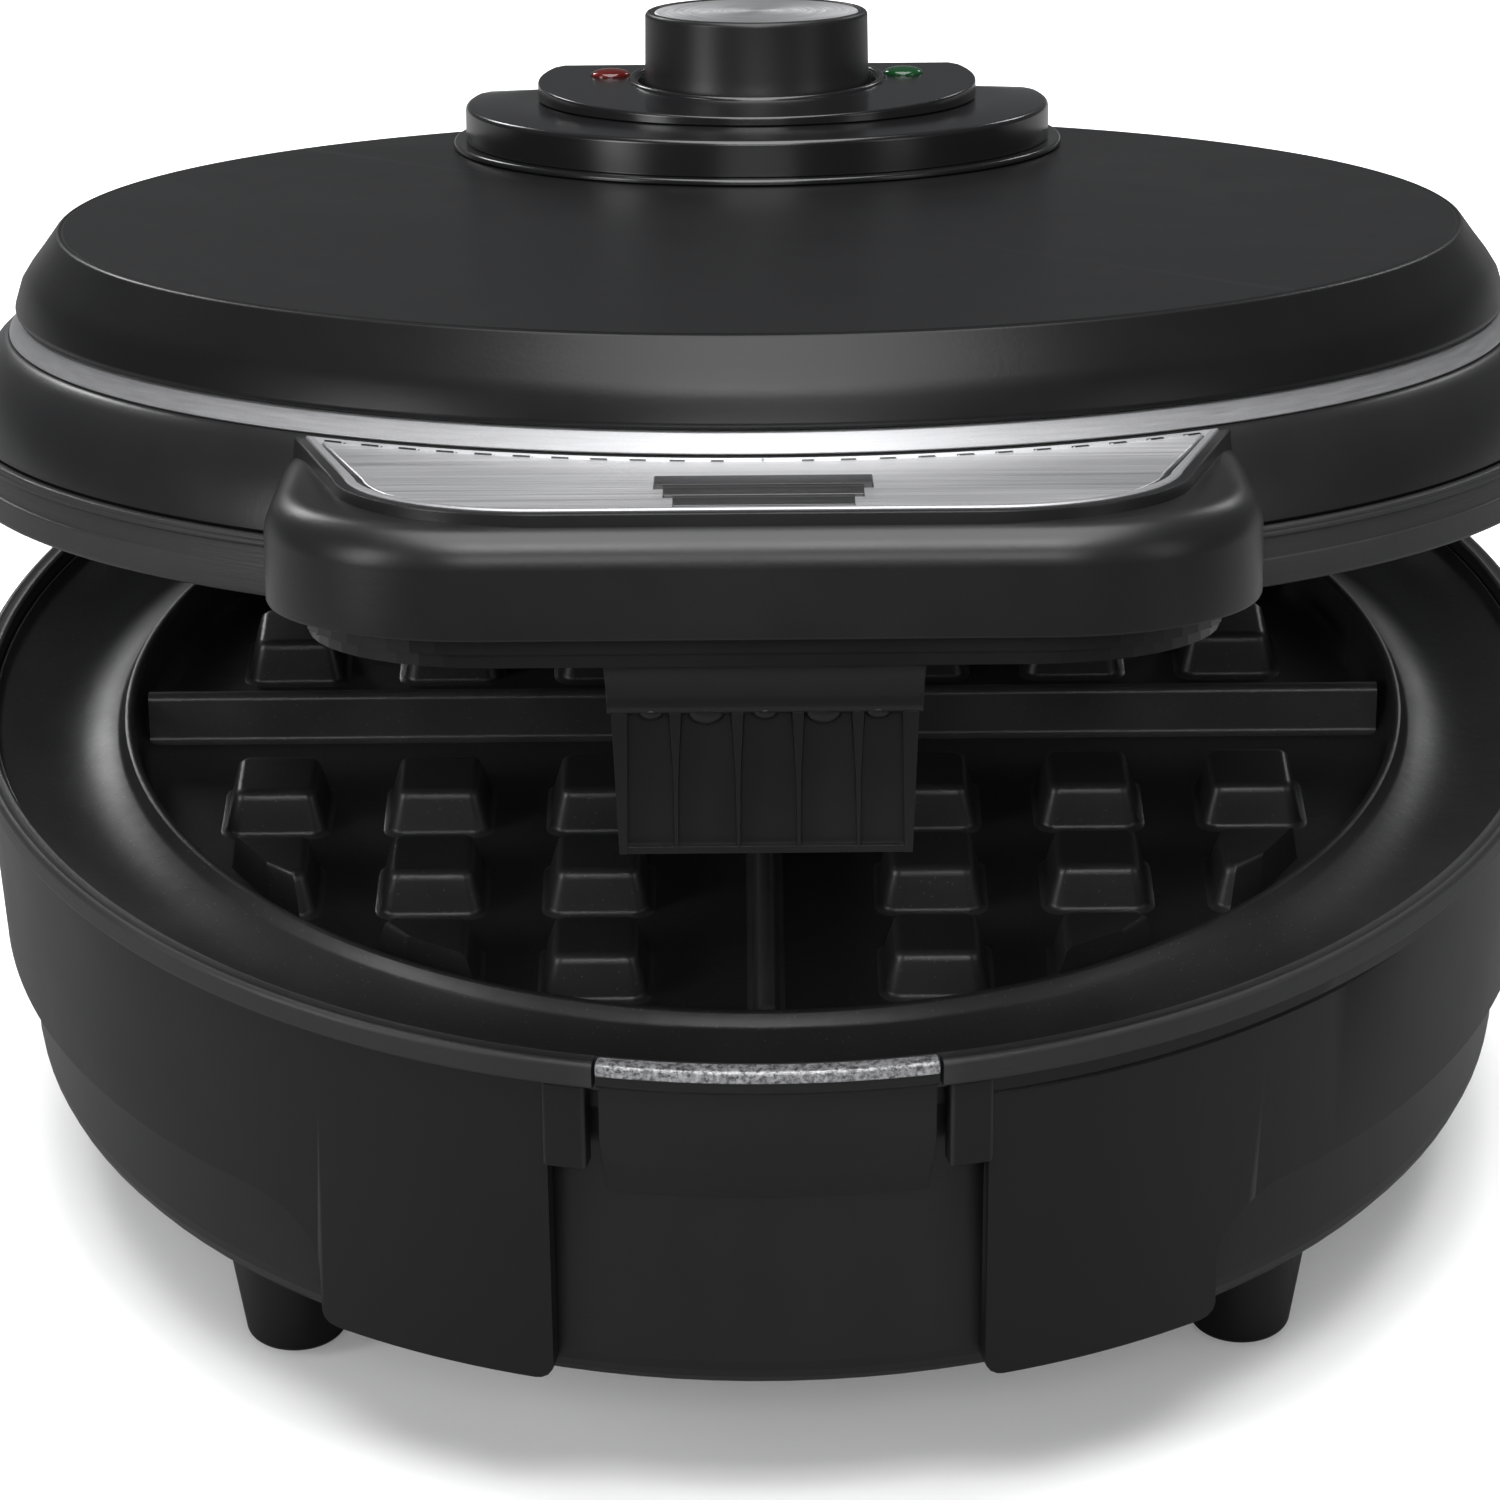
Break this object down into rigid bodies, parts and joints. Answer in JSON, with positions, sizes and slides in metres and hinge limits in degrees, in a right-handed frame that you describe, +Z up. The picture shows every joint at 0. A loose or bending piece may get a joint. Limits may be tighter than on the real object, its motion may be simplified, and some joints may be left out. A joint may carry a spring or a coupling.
{
  "type": "waffle maker",
  "caption": "Round tabletop waffle maker with a hinged domed lid, a sprung latch under the handle and a browning dial on top.",
  "frame": {"origin": "centre of the round base, on the plane that the feet stand on", "axes": "+Z up, the handle and the latch face -Y, the hinge and the cord's gland face +Y, +X to the right seen from the front"},
  "size_m": [0.228, 0.2658, 0.1638],
  "materials": {
    "black_shell": "satin moulded black plastic",
    "rim_plastic": "dark grey plastic with a fine grain",
    "silver_trim": "satin silver trim",
    "brushed_plate": "brushed steel sheet",
    "polished_metal": "polished metal",
    "non_stick": "cast aluminium with a dark non-stick coating",
    "bright_steel": "plain zinc-plated steel",
    "reflector_sheet": "plain aluminium sheet",
    "heater_tube": "steel tube darkened by heat",
    "ceramic": "pale ceramic",
    "brass": "plain brass",
    "wire": "glass-fibre sleeving",
    "rubber": "black rubber",
    "gloss_black": "glossy black plastic",
    "lamp": "small neon lamp",
    "red_lens": "red lens, unlit",
    "green_lens": "green lens, unlit"
  },
  "bodies": {
    "base": {"base_housing": "black_shell", "base_skirt": "black_shell", "base_rim": "rim_plastic", "latch_strike": "silver_trim", "latch_keeper": "black_shell", "lower_plate": "non_stick", "lower_element": "heater_tube", "lower_reflector": "reflector_sheet", "lower_plate_screws": "bright_steel", "terminal_block": "ceramic", "terminal_screws": "brass", "base_leads": "wire", "cord_gland": "rubber", "foot_front_left": "black_shell", "foot_front_right": "black_shell", "foot_rear_left": "black_shell", "foot_rear_right": "black_shell", "foot_pads": "rubber", "foot_screws": "bright_steel", "hinge_bracket": "black_shell", "hinge_bracket_screws": "bright_steel", "hinge_pins": "bright_steel", "hinge_washers": "bright_steel"},
    "lid": {"lid_housing": "black_shell", "lid_trim_band": "silver_trim", "lid_band": "black_shell", "lid_rim": "rim_plastic", "upper_plate": "non_stick", "upper_element": "heater_tube", "upper_reflector": "reflector_sheet", "upper_reflector_screws": "bright_steel", "upper_plate_screws": "bright_steel", "lid_screws": "bright_steel", "thermostat": "ceramic", "thermal_fuse": "ceramic", "lid_leads": "wire", "lid_hinge_bracket": "black_shell", "lid_bracket_screws": "bright_steel", "dial_bezel": "gloss_black", "dial_plate": "gloss_black", "indicator_lamps": "lamp", "lens_power": "red_lens", "lens_ready": "green_lens", "handle_body": "black_shell", "handle_trim": "silver_trim", "handle_insert": "brushed_plate", "handle_badge": "gloss_black", "handle_cover": "black_shell", "handle_screws": "bright_steel", "latch_pin": "bright_steel", "latch_spring": "bright_steel"},
    "dial": {"dial_knob": "black_shell", "dial_cap": "polished_metal", "dial_shaft": "bright_steel"},
    "latch": {"latch": "black_shell"}
  },
  "joints": [
    {"name": "lid_hinge", "type": "hinge", "parent": "base", "child": "lid", "pos_m": [0, 0.1215, 0.0755], "axis": [-1, 0, 0], "range_deg": [-14.5, 85.5]},
    {"name": "dial_turn", "type": "hinge", "parent": "lid", "child": "dial", "pos_m": [0, 0.08227, 0.12149], "axis": [0, 0.2504, 0.9681], "range_deg": [-135, 135]},
    {"name": "latch_swing", "type": "hinge", "parent": "lid", "child": "latch", "pos_m": [0, -0.11202, 0.13909], "axis": [-1, 0, 0], "range_deg": [0, 25], "stiffness_Nm_per_rad": 0.25, "springref_deg": -17.19}
  ]
}
